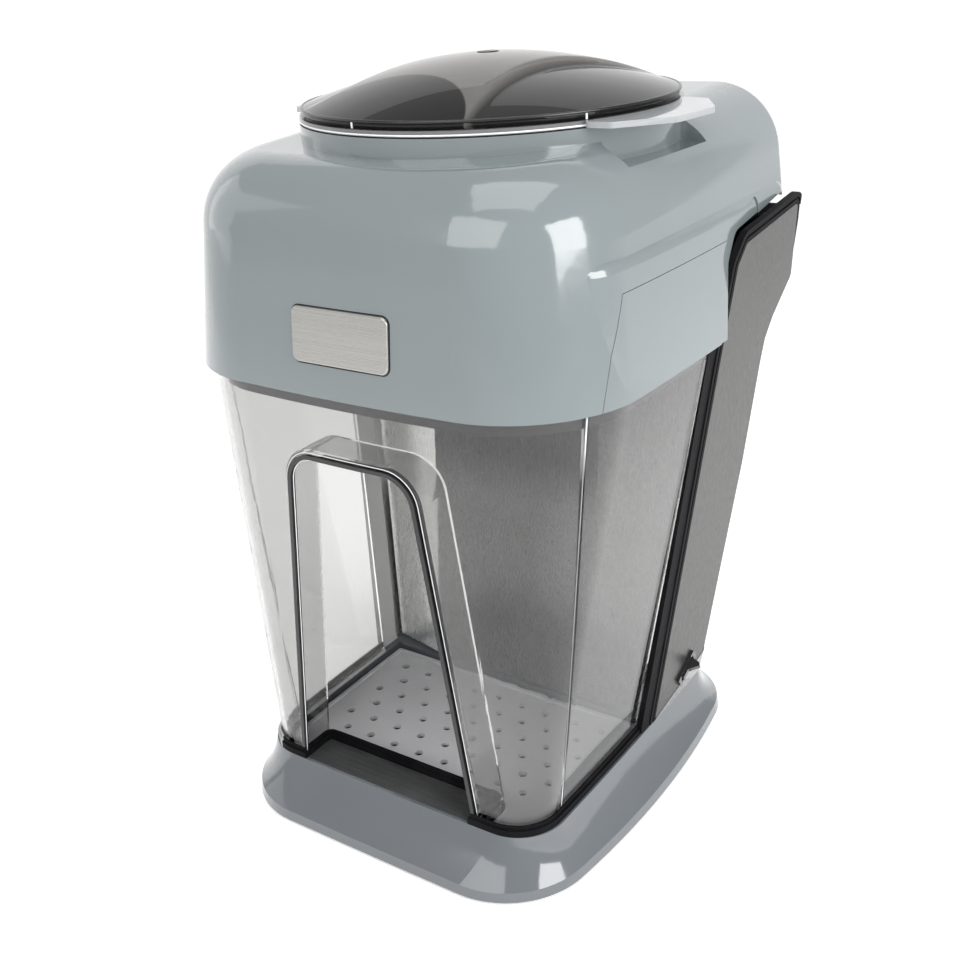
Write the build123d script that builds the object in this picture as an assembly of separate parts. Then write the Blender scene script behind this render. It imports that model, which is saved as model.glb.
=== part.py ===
from build123d import *
from collections import namedtuple
import math
import os

# Countertop shaved ice machine. Millimetres, +Z up, front towards -Y.
# The origin is on the resting surface, centred under the whole machine.

os.makedirs("parts", exist_ok=True)

Plan = namedtuple("Plan", "half_width front back front_radius back_radius front_bow side_bow")

# ---- overall levels ----
FOOT_GAP = 2.0             # the base skirt stops this far above the table
DECK_Z = 33.5              # top of the base, where the clear walls stand
HOUSING_Z = 280.0          # lower edge of the upper housing
COLLAR_Z = 401.7           # top of the ring that carries the lid
WALL = 3.0                 # moulded housings
PANE = 2.5                 # clear walls
SHEET = 2.0                # brushed steel panels
GAP = 0.35                 # between neighbouring covers
LID_Y = 21.2               # axis of lid, hopper and cutter

# ---- plan outlines ----
HOUSING = Plan(132.5, -124.6, 146.0, 69.0, 0.0, 7.5, 3.7)
HOUSING_HIGH = Plan(114.9, -107.0, 144.5, 57.0, 0.0, 6.8, 3.0)
LEDGE = Plan(132.9, -95.0, 146.0, 30.0, 22.0, 4.0, 3.9)
LEDGE_HIGH = Plan(127.6, -95.0, 146.0, 30.0, 22.0, 4.0, 3.8)
BASE_FOOT = Plan(107.8, -145.5, 124.5, 54.0, 48.0, 0.5, 14.5)
BASE_LIP = Plan(107.0, -144.4, 123.2, 52.5, 47.0, 0.5, 14.2)
BASE_FLARE = Plan(103.5, -132.0, 108.0, 38.0, 34.0, 0.8, 7.5)
BASE_TOP = Plan(102.4, -124.0, 96.0, 29.0, 16.0, 1.2, 1.6)
BASE_RISER = Plan(106.5, -124.0, 90.0, 29.0, 8.0, 1.2, 1.0)
BIN_FOOT = Plan(97.9, -120.8, 96.0, 25.0, 12.0, 1.2, 1.6)
BIN_TOP = Plan(127.6, -120.2, 120.0, 65.0, 24.0, 7.0, 3.5)
BIN_TOP_Z = 284.5
BIN_BACK = 16.0            # rear edge of the ice bin floor
GRATE_Z = 27.0
GRATE_INSET = 6.3          # lets the grate lift out past the inward rim of the front opening
FOOT_PLACES = [(x, y) for x in (-84.0, 84.0) for y in (-112.0, 92.0)]

# ---- upper housing ----
HOUSING_HIGH_Z = 440.0     # height of the HOUSING_HIGH outline, above the rounded top
TOP_Z = 397.5              # housing top at the lid axis
TOP_SLOPE = 3.0            # degrees, rising to the back
SHOULDER = 40.0
BACK_EDGE = 11.0           # rounding round the back of the head
COLLAR_R = 106.0
COLLAR_BORE_R = 91.0
LEDGE_TOP = 350.0
COVER_FRONT = -90.0        # front seam of the side covers, at their lower edge
COVER_LEAN = 19.0          # how far that seam leans back by the top
COVER_TOP = 333.5
STRIP_WIDTH = 9.0          # soft edging between each side cover and the black bead
BADGE_W, BADGE_H, BADGE_X, BADGE_Z = 61.0, 28.5, 3.5, 311.8
BADGE_LEAN = math.degrees(math.atan((HOUSING_HIGH.front - HOUSING.front) / (HOUSING_HIGH_Z - HOUSING_Z)))

# ---- lid ----
LID_BASE = COLLAR_Z + 0.6
LID_RIM_TOP = 409.5
LID_APEX = 432.0
LID_R = 105.6
LID_TURN = -6.6            # the lid sits slightly turned, so its tab points off square
TAB_REACH = 132.0          # how far the lifting tab stands out from the lid axis
NUB_ANGLE, NUB_REACH, NUB_WIDTH = 198.0, 116.0, 9.0   # small stop on the other side
POCKET_X, POCKET_Y, POCKET_Z = 122.0, LID_Y - 14.0, 384.0   # scoop under the tab
POCKET_SIZE = (56.0, 80.0)

# ---- lid interlock ----
PIN_PLACE = (-70.0, LID_Y + 70.0)
PIN_TOP = LID_BASE - 0.05  # the pin's tip all but touches the closed lid


# ---- front opening ----
ARCH_FOOT_HALF, ARCH_TOP_HALF = 66.5, 41.5
ARCH_X = -3.0              # the opening is a little left of centre
ARCH_TOP = 243.5
ARCH_RADIUS = 19.0
TUNNEL = 24.0
SEAM_Y = -92.0

# ---- column: side profile as (y, z), front edge first ----
COLUMN_FRONT_EDGE = [(15.0, DECK_Z), (29.8, 147.2), (43.5, 262.0), (51.5, 318.0)]
COLUMN_TOP_EDGE = [(60.0, 328.5), (132.5, 336.5)]
COLUMN_BACK_EDGE = [(139.5, 291.0), (118.5, 271.0), (110.8, 259.0), (108.6, 245.0),
                    (103.5, 180.0), (87.9, 82.0), (80.5, DECK_Z)]
COLUMN_FOOT_HALF, COLUMN_HEAD_HALF = 104.0, 138.0
COLUMN_HEAD_Z = 337.0
GASKET = 7.0               # width of the bead round each side panel
STRIP = 18.0               # width of bead and pane strip together
RISE_START, RISE_END = (14.0, DECK_Z), (96.0, 51.0)   # slope of the base behind the bin
TILT = math.degrees(math.atan((COLUMN_HEAD_HALF - COLUMN_FOOT_HALF) / (COLUMN_HEAD_Z - DECK_Z)))
PANEL_FOOT = DECK_Z + 2.3  # clears the slope of the base at the panel's rear edges
PANEL_FOLD = 61.0          # upright folds of the wall behind the bin
CORD_PLACE = Pos(-62, 85.5, 66) * Rot(-98.7, 0, 0)    # square to the leaning back cover

# ---- switch ----
SWITCH_Y, SWITCH_Z, SWITCH_TURN = 54.0, 51.5, 36.0
SWITCH_X = COLUMN_FOOT_HALF + math.tan(math.radians(TILT)) * (SWITCH_Z - DECK_Z)
SWITCH_LENGTH, SWITCH_WIDTH = 23.0, 9.0

# ---- drive ----
MODULE = 1.5
MOTOR_Y = 74.0
MOTOR_Z = 208.0            # lower end of the motor can
MOTOR_TOP = MOTOR_Z + 70.0
PINION_TEETH, IDLER_BIG_TEETH, IDLER_SMALL_TEETH, MAIN_TEETH = 12, 30, 14, 43
LOWER_GEAR_Z, UPPER_GEAR_Z, GEAR_H = 294.5, 305.0, 9.0
SHAFT_R = 5.0
RUN = 0.05                 # running clearance on a radius
CASE_Z, CASE_TOP_Z = 290.5, 317.0
DISC_Z, DISC_R, DISC_H = 330.0, 74.0, 4.0
CHUTE_R = 78.0
CHUTE_BACK = 40.0          # ice falls only ahead of this plane


def folded_idler():
    """Idler axis and both lines of centres, from the three gear distances."""
    reach = MODULE * (MAIN_TEETH + IDLER_SMALL_TEETH) / 2
    link = MODULE * (PINION_TEETH + IDLER_BIG_TEETH) / 2
    span = MOTOR_Y - LID_Y
    bend = math.acos((reach * reach + span * span - link * link) / (2 * reach * span))
    x, y = reach * math.sin(bend), LID_Y + reach * math.cos(bend)
    to_idler = 90 - math.degrees(bend)
    to_pinion = math.degrees(math.atan2(MOTOR_Y - y, -x))
    return x, y, to_idler, to_pinion


IDLER_X, IDLER_Y, MAIN_TO_IDLER, IDLER_TO_PINION = folded_idler()


def box(x0, x1, y0, y1, z0, z1):
    """A box from its limits on each axis."""
    centre = ((x0 + x1) / 2, (y0 + y1) / 2, (z0 + z1) / 2)
    return Pos(*centre) * Box(x1 - x0, y1 - y0, z1 - z0)


def rod(radius, z0, z1, x=0.0, y=LID_Y):
    """An upright cylinder between two heights."""
    return Pos(x, y, (z0 + z1) / 2) * Cylinder(radius, z1 - z0)


def tube(outer, inner, z0, z1, x=0.0, y=LID_Y):
    """An upright tube between two heights."""
    return rod(outer, z0, z1, x, y) - rod(inner, z0 - 1, z1 + 1, x, y)


def plan_face(plan, z, inset=0.0):
    """The bowed, round-cornered outline of one level, drawn inwards by inset."""
    w = plan.half_width - inset
    front, back = plan.front + inset, plan.back - inset
    middle = (front + back) / 2
    ahead = Edge.make_three_point_arc((-w, front), (0, front - plan.front_bow), (w, front))
    right = Edge.make_three_point_arc((w, front), (w + plan.side_bow, middle), (w, back))
    rear = Edge.make_line((w, back), (-w, back))
    left = Edge.make_three_point_arc((-w, back), (-w - plan.side_bow, middle), (-w, front))
    face = Face(Wire([ahead, right, rear, left]))
    front_corners = face.vertices().filter_by(lambda v: v.Y < middle)
    face = face.fillet_2d(max(plan.front_radius - inset, 2.0), front_corners)
    if plan.back_radius:
        rear_corners = face.vertices().sort_by(Axis.Y)[-2:]
        face = face.fillet_2d(max(plan.back_radius - inset, 2.0), rear_corners)
    return Pos(0, 0, z) * face


def plan_loft(levels, inset=0.0, ruled=True):
    """A solid through several (plan, height) levels."""
    return loft([plan_face(plan, z, inset) for plan, z in levels], ruled=ruled)


def profile_prism(points, radius, half_width, grow=0.0):
    """A side profile in (y, z), rounded at its corners and extruded across the machine."""
    with BuildSketch(Plane.YZ) as sketch:
        with BuildLine():
            Polyline(*points, close=True)
        make_face()
        fillet(sketch.vertices(), radius)
        if grow:
            offset(amount=grow)
    return extrude(sketch.sketch, half_width, both=True)


def arch_prism(grow=0.0, y0=-150.0, y1=-60.0):
    """The front opening's outline, narrowing upwards, as a prism along Y."""
    foot, top, crown = ARCH_FOOT_HALF + grow, ARCH_TOP_HALF + grow, ARCH_TOP + grow
    with BuildSketch(Plane.XZ.offset(-y1)) as sketch:
        with BuildLine():
            Polyline((-foot, 20), (-top, crown), (top, crown), (foot, 20), close=True)
        make_face()
        fillet(sketch.vertices().sort_by(Axis.Y)[-2:], ARCH_RADIUS + grow)
    return Pos(ARCH_X, 0, 0) * extrude(sketch.sketch, y1 - y0)


# ---------------------------------------------------------------- base

def base_flare(inset=0.0):
    """The concave skirt with its raised rear collar."""
    levels = [(BASE_FOOT, FOOT_GAP), (BASE_LIP, 8.0), (BASE_FLARE, 20.0), (BASE_TOP, DECK_Z)]
    skirt = plan_loft(levels[:2], inset) + plan_loft(levels[1:], inset, ruled=False)
    riser = plan_loft([(BASE_TOP, DECK_Z - 1.5), (BASE_RISER, RISE_END[1] + 1)], inset)
    (y0, z0), (y1, z1) = RISE_START, RISE_END
    run_in = 8.0
    start = (y0 - run_in, z0 - run_in * (z1 - z0) / (y1 - y0))
    wedge = profile_prism([start, (y1, z1), (y1, 20), (y0 - run_in, 20)], 0.2, 150)
    return skirt + (riser & wedge)


def sill_region(grow=0.0):
    """Plan area of the level sill between the feet of the arch."""
    depth = TUNNEL - 1.0
    y0, y1 = BIN_FOOT.front - 12, BIN_FOOT.front + depth
    shape = Rectangle(2 * (ARCH_FOOT_HALF - 3 + grow), y1 - y0 + 2 * grow)
    return Pos(ARCH_X, (y0 + y1) / 2) * fillet(shape.vertices(), 6 + grow)


def bin_region(grow):
    """Plan area of the ice bin's floor, round the sill, stopping at the column."""
    area = plan_face(BIN_FOOT, 0.0, -grow) - sill_region(-grow)
    return area - Pos(0, 100 + BIN_BACK + grow) * Rectangle(300, 200)


def base_shell():
    body = base_flare()
    body -= extrude(Pos(0, 0, 14.0) * bin_region(-3.8), 60)
    under = plan_loft([(BASE_FOOT, 0.0), (BASE_LIP, 8.0), (BASE_LIP, 10.5)], WALL + 1.5)
    body -= under
    rear = plan_loft([(BASE_TOP, 9.0), (BASE_TOP, DECK_Z - WALL)], 7.0)
    body -= rear & box(-150, 150, 20, 150, 0, 60)
    for x, y in FOOT_PLACES:
        body += rod(9.0, 6.0, 11.0, x, y)
    return body


def rubber_feet():
    return [tube(8.0, 2.2, 0.0, 6.0, x, y) for x, y in FOOT_PLACES]


def base_cover():
    plate = extrude(plan_face(BASE_FOOT, 3.0, 5.2), 2.0)
    for x, y in FOOT_PLACES:
        plate -= rod(8.3, 0, 12, x, y)
    for i in range(-3, 4):
        plate -= Pos(i * 14.0, 60.0, 4.0) * Box(5.0, 46.0, 10.0)
    return plate


def gasket_lip(grow):
    """Standing lip of the floor gasket, outside the clear walls."""
    return extrude(Pos(0, 0, DECK_Z) * (bin_region(1.9 + grow) - bin_region(0.9 - grow)), 6.5 + grow)


def floor_gasket():
    ring = extrude(Pos(0, 0, DECK_Z) * (bin_region(3.2) - bin_region(-3.4)), 2.6)
    bead = extrude(Pos(0, 0, DECK_Z) * (bin_region(3.2) - bin_region(1.8)), 4.0)
    return (ring + gasket_lip(0.0) + bead) & box(-150, 150, -150, -2.8, 0, 60)


def drip_grate():
    plate = extrude(Pos(0, 0, GRATE_Z) * bin_region(-GRATE_INSET), 2.5)
    rim = extrude(Pos(0, 0, GRATE_Z) * (bin_region(-GRATE_INSET) - bin_region(-GRATE_INSET - 2.4)), 4.0)
    for row in range(-3, 4):
        for column in range(-4, 5):
            x = column * 19.0 + (9.5 if row % 2 else 0.0)
            if abs(x) < 84:
                plate -= rod(2.6, 20, 30, x, -36.0 + row * 15.0)
    legs = [rod(4.0, 14.2, GRATE_Z, x, y) for x in (-70.0, 70.0) for y in (-64.0, 4.0)]
    return plate + rim + legs


# ---------------------------------------------------------------- clear bin

def bin_walls(inset_out=0.0, inset_in=PANE):
    levels = [(BIN_FOOT, DECK_Z + 2.7), (BIN_TOP, BIN_TOP_Z)]
    outer = plan_loft(levels, inset_out)
    inner = plan_loft(levels, inset_in)
    return outer, inner


def bin_front():
    outer, inner = bin_walls()
    deep = plan_loft([(BIN_FOOT, DECK_Z + 2.7), (BIN_TOP, BIN_TOP_Z)], TUNNEL)
    wall = outer - inner - arch_prism()
    flange = (arch_prism(PANE) - arch_prism()) & (outer - deep)
    return (wall + flange) & box(-200, 200, -200, SEAM_Y, 0, 400)


def column_side_profile(grow=0.0):
    points = COLUMN_FRONT_EDGE + COLUMN_TOP_EDGE + COLUMN_BACK_EDGE
    return profile_prism(points, 4.0, 200, grow)


def bin_side(side):
    outer, inner = bin_walls()
    strip = (outer - inner) & box(60, 200, SEAM_Y + 0.3, 60, 0, 400)
    strip -= column_side_profile(STRIP + 0.3)
    strip &= profile_prism([(-200, 0), (10, 0), (60, 290), (-200, 290)], 1, 300)
    return strip if side > 0 else mirror(strip, Plane.YZ)


def arch_trim():
    outer, deep = bin_walls(-1.5, 1.9)
    band = (arch_prism(-0.3) - arch_prism(-2.6)) & (outer - deep)
    return (band & box(-200, 200, -200, 0, DECK_Z + 4.2, 400)) - gasket_lip(0.3)


# ---------------------------------------------------------------- column


def leaning_slab(depth, proud=0.0):
    """Endless plate on the plane of the right side panel, from proud of it to depth inside."""
    x0, x1 = COLUMN_FOOT_HALF - depth, COLUMN_FOOT_HALF + proud
    slab = box(x0, x1, -200, 200, -100, 500)
    return Pos(COLUMN_FOOT_HALF, 0, DECK_Z) * Rot(0, TILT, 0) * Pos(-COLUMN_FOOT_HALF, 0, -DECK_Z) * slab


def tilted_plate(profile, depth, side, proud=0.0):
    """Part of a profile prism as a plate that leans outwards with height."""
    plate = profile & leaning_slab(depth, proud) & box(0, 300, -200, 300, DECK_Z + 0.3, 400)
    return plate if side > 0 else mirror(plate, Plane.YZ)


def below_rise():
    """Everything under the sloping top of the base, plus a seam."""
    gap = 0.3
    (y0, z0), (y1, z1) = RISE_START, RISE_END
    return profile_prism([(-50, 0), (y1, 0), (y1, z1 + gap), (y0, z0 + gap), (-50, z0 + gap)], 0.2, 300)


def column_side(side):
    plate = tilted_plate(column_side_profile() - below_rise(), SHEET, side)
    if side > 0:
        window = Box(20, SWITCH_LENGTH - 3.0, SWITCH_WIDTH - 2.6)
        plate -= switch_place() * window
    return plate


def column_gasket():
    """Grooved black bead round each side panel, with a wider strip along the clear pane."""
    rear = profile_prism([(60, 0), (150, 0), (150, 300), (90, 300)], 1, 300)
    rear += box(-300, 300, 137, 300, 0, 400)
    bead = column_side_profile(GASKET) - column_side_profile(0.3) - rear
    strip = column_side_profile(STRIP) - column_side_profile(GASKET - 1) - rear
    strip &= box(-300, 300, -100, 80, 0, HOUSING_Z - 1)
    groove = column_side_profile(GASKET * 0.6) - column_side_profile(GASKET * 0.4)
    seals = []
    for side in (-1, 1):
        sunk = tilted_plate(strip, 4.0, side) - tilted_plate(strip, 0.7, side)
        seal = tilted_plate(bead, 4.0, side) + sunk
        seals.append(seal - tilted_plate(groove, 0.8, side, 3.0))
    return seals


def column_wedge(shrink):
    """The room between the two leaning side panels."""
    foot, head = COLUMN_FOOT_HALF - shrink, COLUMN_HEAD_HALF - shrink
    slope = (head - foot) / (COLUMN_HEAD_Z - DECK_Z)
    top = foot + slope * (345 - DECK_Z)
    low = foot - slope * 4
    with BuildSketch(Plane.XZ.offset(-200)) as sketch:
        with BuildLine():
            Polyline((-low, DECK_Z - 4), (low, DECK_Z - 4), (top, 345), (-top, 345), close=True)
        make_face()
    return extrude(sketch.sketch, 400)


def column_back_cover():
    shell = column_side_profile(-0.2) - column_side_profile(-WALL)
    shell &= column_wedge(SHEET + GAP)
    shell -= profile_prism([(-50, 0), (62, 0), (94, 265), (106, 300), (106, 400), (-50, 400)], 1, 300)
    shell -= below_rise()
    shell &= box(-300, 300, 0, 300, DECK_Z + 0.3, 400)
    for row in range(7):
        z = 130.0 + row * 11.0
        for x in (-38.0, 38.0):
            shell -= Pos(x, 105, z) * Box(58, 60, 4.0)
    return shell - CORD_PLACE * Cylinder(7.1, 40)


def panel_section(z, half, edge_y, depth):
    """One level of the folded wall between the bin and the motor column."""
    fold_y = edge_y - depth
    front = [(-half, edge_y), (-PANEL_FOLD, fold_y), (PANEL_FOLD, fold_y), (half, edge_y)]
    back = [(x, y + SHEET) for x, y in reversed(front)]
    return Pos(0, 0, z) * make_face(Polyline(*front, *back, close=True))


def column_front_panel():
    """Steel wall behind the bin, folded back towards both sides."""
    foot = panel_section(PANEL_FOOT, 99.2, 20.8, 8.0)
    head = panel_section(HOUSING_Z - 3.0, 125.0, 51.0, 14.0)
    return loft([foot, head], ruled=True)


def cord_bushing():
    """Strain relief in the back cover; its axis is square to the leaning wall."""
    ring = Pos(0, 0, 2.3) * Cylinder(9.5, 4.0)
    stem = Pos(0, 0, -4.0) * Cylinder(7.0, 10.0)
    return CORD_PLACE * (ring + stem - Cylinder(3.6, 40))


# ---------------------------------------------------------------- upper housing

def housing_body(inset=0.0):
    """Leaning, round-shouldered head with a proud ledge round its lower back."""
    body = plan_loft([(HOUSING, HOUSING_Z), (HOUSING_HIGH, HOUSING_HIGH_Z)], inset)
    lid_plane = Pos(0, LID_Y, TOP_Z - inset) * Rot(TOP_SLOPE, 0, 0)
    body -= lid_plane * Pos(0, 0, 50) * Box(400, 400, 100)
    top = body.faces().sort_by(Axis.Z)[-1]
    body = fillet(top.edges().sort_by(Axis.Y)[:-1], SHOULDER - inset)
    back = body.faces().sort_by(Axis.Y)[-1]
    rim = back.edges().filter_by(lambda edge: edge.center().Z > HOUSING_Z + 5)
    body = fillet(rim, BACK_EDGE - inset)
    ledge = plan_loft([(LEDGE, HOUSING_Z), (LEDGE_HIGH, LEDGE_TOP - inset)], inset)
    ledge = fillet(ledge.faces().sort_by(Axis.Z)[-1].edges(), 7.0)
    return body + ledge


def finger_pocket(grow=0.0):
    """Scoop under the lid tab, where fingers go to lift the lid."""
    width, depth = POCKET_SIZE
    area = RectangleRounded(width + 2 * grow, depth + 2 * grow, 13.0 + grow)
    return extrude(Pos(POCKET_X, POCKET_Y, POCKET_Z - grow) * area, 40)


def upper_housing():
    body = housing_body() + rod(COLLAR_R, 380, COLLAR_Z) - rod(COLLAR_R + 1.0, COLLAR_Z, 450)
    cavity = housing_body(WALL) & box(-300, 300, -300, 300, 200, COLLAR_Z - WALL)
    cavity -= finger_pocket(WALL)
    body -= finger_pocket() - rod(COLLAR_R, 300, 450)
    body -= cavity
    body -= rod(COLLAR_BORE_R + GAP, 380, 450)
    body -= rod(2.0 + RUN, 380, 450, *PIN_PLACE)
    body -= box(-300, 300, -300, 300, 200, HOUSING_Z)
    body -= column_side_profile(GASKET + 0.3)
    body -= column_side_profile(GASKET + STRIP_WIDTH + 0.3) & box(-300, 300, 0, 88.4, 0, 500)
    body -= box(-300, 300, 100, 300, 200, COLUMN_TOP_EDGE[1][1] + 2.5)
    body -= side_cover_region(0.0)
    return body - badge_recess()


def side_cover_region(shrink):
    """Space of both side covers, ahead of the column and under the ledge."""
    low, high = COVER_FRONT + shrink, COVER_FRONT + COVER_LEAN + shrink
    top = COVER_TOP - shrink
    outline = [(low, HOUSING_Z), (high, top), (100, top), (100, HOUSING_Z)]
    return profile_prism(outline, 0.5, 300) - box(-118, 118, -300, 300, 0, 500)


def side_cover(side):
    shell = (housing_body() - housing_body(WALL)) & side_cover_region(GAP)
    shell -= column_side_profile(GASKET + STRIP_WIDTH + 0.6)
    return shell & box(min(0, side * 300), max(0, side * 300), -300, 300, 0, 500)


def cover_strips():
    """Rounded edging that follows the column's outline up the side of the head."""
    band = column_side_profile(GASKET + STRIP_WIDTH) - column_side_profile(GASKET + 0.5)
    band &= box(-300, 300, 0, 88.0, HOUSING_Z, HOUSING_Z + 100)
    shell = (housing_body(0.6) - housing_body(WALL)) & band
    left = shell & box(-300, -118, -300, 300, 0, 500)
    right = shell & box(118, 300, -300, 300, 0, 500)
    return [left, right]


def badge_shape(width, height, radius, outwards, inwards):
    """Rounded plate on the leaning front face, from outwards of it to inwards."""
    lean = math.tan(math.radians(BADGE_LEAN))
    face_y = HOUSING.front - HOUSING.front_bow + lean * (BADGE_Z - HOUSING_Z)
    face = RectangleRounded(width, height, radius)
    prism = extrude(Plane.XZ.offset(-inwards) * face, inwards + outwards)
    return Pos(BADGE_X, face_y, BADGE_Z) * Rot(-BADGE_LEAN, 0, 0) * prism


def badge_recess():
    return badge_shape(BADGE_W + 1.6, BADGE_H + 1.6, 4.8, 6.0, 1.8)


def badge_plate():
    plate = badge_shape(BADGE_W, BADGE_H, 4.0, 0.9, 1.6)
    return fillet(plate.faces().sort_by(Axis.Y)[0].edges(), 0.8)


def lower_frame():
    """Dark deck under the head, with the ice chute hole and a skirt inside the bin."""
    level = [(BIN_TOP, HOUSING_Z - 9.0), (BIN_TOP, HOUSING_Z + 5.0)]
    skirt = plan_loft(level, PANE + 2.2) - plan_loft(level, PANE + 5.2)
    deck = extrude(plan_face(BIN_TOP, HOUSING_Z + 2.0, PANE + 2.2), WALL)
    body = (skirt + deck) - rod(CHUTE_R + 2.6, 200, 400)
    return body & box(-300, 300, -300, 28.0, 200, 400)


def chute_bore(inset):
    """The falling passage: a circle cut off short of the motor column."""
    radius = CHUTE_R - inset
    return Pos(0, LID_Y) * Circle(radius) & Pos(0, CHUTE_BACK - inset - 150) * Rectangle(300, 300)


def ice_chute():
    floor, rim = CASE_TOP_Z + 6.0, DISC_Z + 9.0
    body = tube(CHUTE_R + 2.4, CHUTE_R, floor, rim) + rod(CHUTE_R + 2.4, floor, floor + 2.5)
    body += extrude(Pos(0, 0, HOUSING_Z - 2.0) * chute_bore(-2.4), floor - HOUSING_Z + 3.0)
    body -= extrude(Pos(0, 0, HOUSING_Z - 3.0) * chute_bore(0.0), floor - HOUSING_Z + 8.0)
    collar = extrude(Pos(0, 0, HOUSING_Z + 5.2) * chute_bore(-6.0), 2.8)
    body += collar - extrude(Pos(0, 0, HOUSING_Z) * chute_bore(-1.0), 20)
    body -= extrude(Pos(0, 0, CASE_Z - 4.0) * gearbox_outline(0.4), CASE_TOP_Z - CASE_Z + 8.0)
    return body - rod(9.5, 280, 340)


def hopper_cone(foot_r, head_r):
    """One surface of the hopper's cone, as a solid between its two rims."""
    foot = Pos(0, LID_Y, DISC_Z + 9.2) * Circle(foot_r)
    head = Pos(0, LID_Y, COLLAR_Z - 5.4) * Circle(head_r)
    return loft([foot, head])


def hopper():
    """Ice hopper: a conical cup whose floor is the spinning blade disc."""
    outer = hopper_cone(CHUTE_R + 2.4, COLLAR_BORE_R - 0.4)
    body = outer - hopper_cone(CHUTE_R - 1.0, COLLAR_BORE_R - 3.4)
    rib = box(CHUTE_R - 6, CHUTE_R + 4, -1.5, 1.5, DISC_Z + 10.2, DISC_Z + 43.2)
    for turn in (45, 165, 285):
        body += Pos(0, LID_Y, 0) * Rot(0, 0, turn) * rib & outer
    return body


# ---------------------------------------------------------------- lid

def cap(radius, base, apex):
    """A spherical cap from its edge radius, base height and apex."""
    rise = apex - base
    ball = (radius * radius + rise * rise) / (2 * rise)
    sphere = Pos(0, LID_Y, apex - ball) * Sphere(ball)
    return sphere & rod(radius + 50, base, apex + 1)


def lid_dome():
    rim = rod(LID_R - 1.5, LID_BASE + 3.3, LID_RIM_TOP)
    dome = cap(LID_R - 3.0, LID_RIM_TOP, LID_APEX)
    inside = cap(LID_R - 6.0, LID_RIM_TOP - 2.5, LID_APEX - 2.5) + rod(LID_R - 4.0, 400, LID_RIM_TOP - 2.5)
    return rim + dome - inside


def lifting_tab():
    """Rounded tab on the right of the lid seat."""
    inner, corner = 96.0, 112.0
    outline = [(inner, -46), (corner, -44), (TAB_REACH, -17), (TAB_REACH, 17), (corner, 44), (inner, 46)]
    with BuildSketch(Plane.XY.offset(LID_BASE)) as sketch:
        with BuildLine():
            Polyline(*outline, close=True)
        make_face()
        fillet(sketch.vertices(), 4.0)
    return Pos(0, LID_Y, 0) * Rot(0, 0, LID_TURN) * extrude(sketch.sketch, 3.0)


def lid_nub():
    """Short stop that stands out of the lid seat on the left."""
    block = box(LID_R - 4, NUB_REACH, -NUB_WIDTH / 2, NUB_WIDTH / 2, LID_BASE, LID_BASE + 3.0)
    block = fillet(block.edges().filter_by(Axis.Z).sort_by(Axis.X)[-2:], 3.0)
    return Pos(0, LID_Y, 0) * Rot(0, 0, NUB_ANGLE) * block


def lid_ring():
    """Clear seat of the dome, with its lifting tab and a locating skirt."""
    seat = tube(LID_R, COLLAR_BORE_R - 3.0, LID_BASE, LID_BASE + 3.0)
    skirt = tube(COLLAR_BORE_R - 1.0, COLLAR_BORE_R - 3.0, LID_BASE - 5.0, LID_BASE + 3.0)
    return seat + skirt + lid_nub() + (lifting_tab() - rod(COLLAR_BORE_R, 390, 420))


# ---------------------------------------------------------------- switch

def switch_place():
    return Pos(SWITCH_X, SWITCH_Y, SWITCH_Z) * Rot(0, TILT, 0) * Rot(SWITCH_TURN, 0, 0)


def switch_bezel():
    """Frame of the rocker switch; x points out of the panel, y along the frame."""
    flange = box(0.2, 1.9, -SWITCH_LENGTH / 2, SWITCH_LENGTH / 2, -SWITCH_WIDTH / 2, SWITCH_WIDTH / 2)
    flange = fillet(flange.edges().filter_by(Axis.X), 1.2)
    shell = flange + box(-14.0, 0.3, -9.8, 9.8, -3.0, 3.0)
    return switch_place() * (shell - box(-12.5, 5.0, -8.8, 8.8, -2.2, 2.2))


def switch_rocker():
    """Rocker with one raised paddle, pivoting near the panel surface."""
    outline = [(-4.0, -4.5), (1.6, -7.6), (2.8, -7.2), (3.0, -1.0),
               (8.8, 4.2), (7.6, 6.2), (1.6, 7.6), (-4.0, 4.5)]
    with BuildSketch() as sketch:
        with BuildLine():
            Polyline(*outline, close=True)
        make_face()
        fillet(sketch.vertices(), 0.5)
    return switch_place() * extrude(sketch.sketch, 1.9, both=True)


# ---------------------------------------------------------------- drive

def involute_point(base, roll, turn):
    """A point on an involute flank, turned about the gear axis."""
    r = base * math.hypot(1, roll)
    angle = turn + (roll - math.atan(roll))
    return r, angle


def gear_outline(teeth, phase, backlash=0.16):
    """Spur gear outline with involute flanks; one tooth is centred on phase (degrees)."""
    pitch_r = MODULE * teeth / 2
    base = pitch_r * math.cos(math.radians(20))
    tip, root = pitch_r + 0.85 * MODULE, pitch_r - 1.15 * MODULE
    half = math.pi / (2 * teeth) - backlash / pitch_r + (math.tan(math.radians(20)) - math.radians(20))
    last = math.sqrt(max((tip / base) ** 2 - 1, 0))
    first = math.sqrt(max((max(root, base) / base) ** 2 - 1, 0))
    rolls = [first + (last - first) * i / 3 for i in range(4)]
    points = []
    for tooth in range(teeth):
        centre = math.radians(phase) + 2 * math.pi * tooth / teeth
        flank = [involute_point(base, roll, -half) for roll in rolls]
        left = [(root, -half - 0.004)] + flank
        right = [(r, -a) for r, a in reversed(left)]
        points += [(r * math.cos(centre + a), r * math.sin(centre + a)) for r, a in left + right]
    with BuildSketch() as sketch:
        with BuildLine():
            Polyline(*points, close=True)
        make_face()
    return sketch.sketch


def gear(teeth, phase, z0, height, x, y, bore):
    body = extrude(Pos(x, y, z0) * gear_outline(teeth, phase), height)
    return body - rod(bore, z0 - 1, z0 + height + 1, x, y)


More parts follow.
